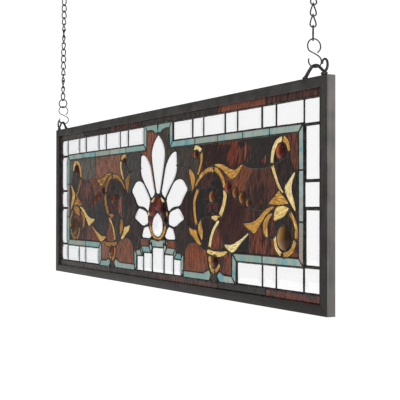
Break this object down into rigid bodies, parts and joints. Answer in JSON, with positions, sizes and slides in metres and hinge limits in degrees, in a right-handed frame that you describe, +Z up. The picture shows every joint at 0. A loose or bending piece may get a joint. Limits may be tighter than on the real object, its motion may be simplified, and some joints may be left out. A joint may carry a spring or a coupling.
{
  "type": "stained glass window panel",
  "caption": "Long framed stained glass panel with a clear palmette, amber scrolls on dark mahogany glass and a bevelled block border, hung on two wire chains.",
  "frame": {"origin": "midway between the two points inside the top rings where the chains bear on their hooks", "axes": "+X along the panel to the viewer's right, +Y from the front face to the back, +Z up"},
  "size_m": [0.915, 0.0206, 0.569],
  "materials": {
    "mahogany_glass": "dark streaky mahogany and coloured glass joined by dark solder lines",
    "frame_metal": "metal channel with a dark bronze patina",
    "wire_metal": "dark patinated steel wire",
    "clear_glass": "clear glass, ground bevels, polished",
    "white_glass": "polished clear to milky white glass",
    "jewel_glass": "domed pressed glass jewel, amber brown",
    "amber_glass": "wispy amber opalescent glass",
    "teal_glass": "streaky teal opalescent glass",
    "solder": "rounded solder beads with a black patina"
  },
  "bodies": {
    "root": {"centre_drop": "white_glass", "chain_left": "wire_metal", "chain_right": "wire_metal", "corner_block_low_left": "clear_glass", "corner_block_low_right": "clear_glass", "corner_block_top_left": "clear_glass", "corner_block_top_right": "clear_glass", "frame_bottom": "frame_metal", "frame_left": "frame_metal", "frame_right": "frame_metal", "frame_top": "frame_metal", "hanger_left": "wire_metal", "hanger_right": "wire_metal", "leaded_panel": "mahogany_glass", "low_double_1_left": "clear_glass", "low_double_1_right": "clear_glass", "low_double_2_left": "clear_glass", "low_double_2_right": "clear_glass", "low_square_left": "clear_glass", "low_square_right": "clear_glass", "petal_left_1": "clear_glass", "petal_left_2": "clear_glass", "petal_left_3": "clear_glass", "petal_left_4": "clear_glass", "petal_right_1": "clear_glass", "petal_right_2": "clear_glass", "petal_right_3": "clear_glass", "petal_right_4": "clear_glass", "petal_top": "clear_glass", "pillar_centre": "clear_glass", "pillar_left_1": "clear_glass", "pillar_left_2": "clear_glass", "pillar_right_1": "clear_glass", "pillar_right_2": "clear_glass", "s_hook_left": "wire_metal", "s_hook_right": "wire_metal", "scroll_jewel_left": "jewel_glass", "scroll_jewel_right": "jewel_glass", "side_double_low_left": "clear_glass", "side_double_low_right": "clear_glass", "side_double_top_left": "clear_glass", "side_double_top_right": "clear_glass", "side_square_left": "clear_glass", "side_square_right": "clear_glass", "top_double_left_1": "clear_glass", "top_double_left_2": "clear_glass", "top_double_left_3": "clear_glass", "top_double_left_4": "clear_glass", "top_double_right_1": "clear_glass", "top_double_right_2": "clear_glass", "top_double_right_3": "clear_glass", "top_double_right_4": "clear_glass", "top_ring_left": "wire_metal", "top_ring_right": "wire_metal", "top_square_left_1": "clear_glass", "top_square_left_2": "clear_glass", "top_square_left_3": "clear_glass", "top_square_right_1": "clear_glass", "top_square_right_2": "clear_glass", "top_square_right_3": "clear_glass"}
  },
  "joints": []
}
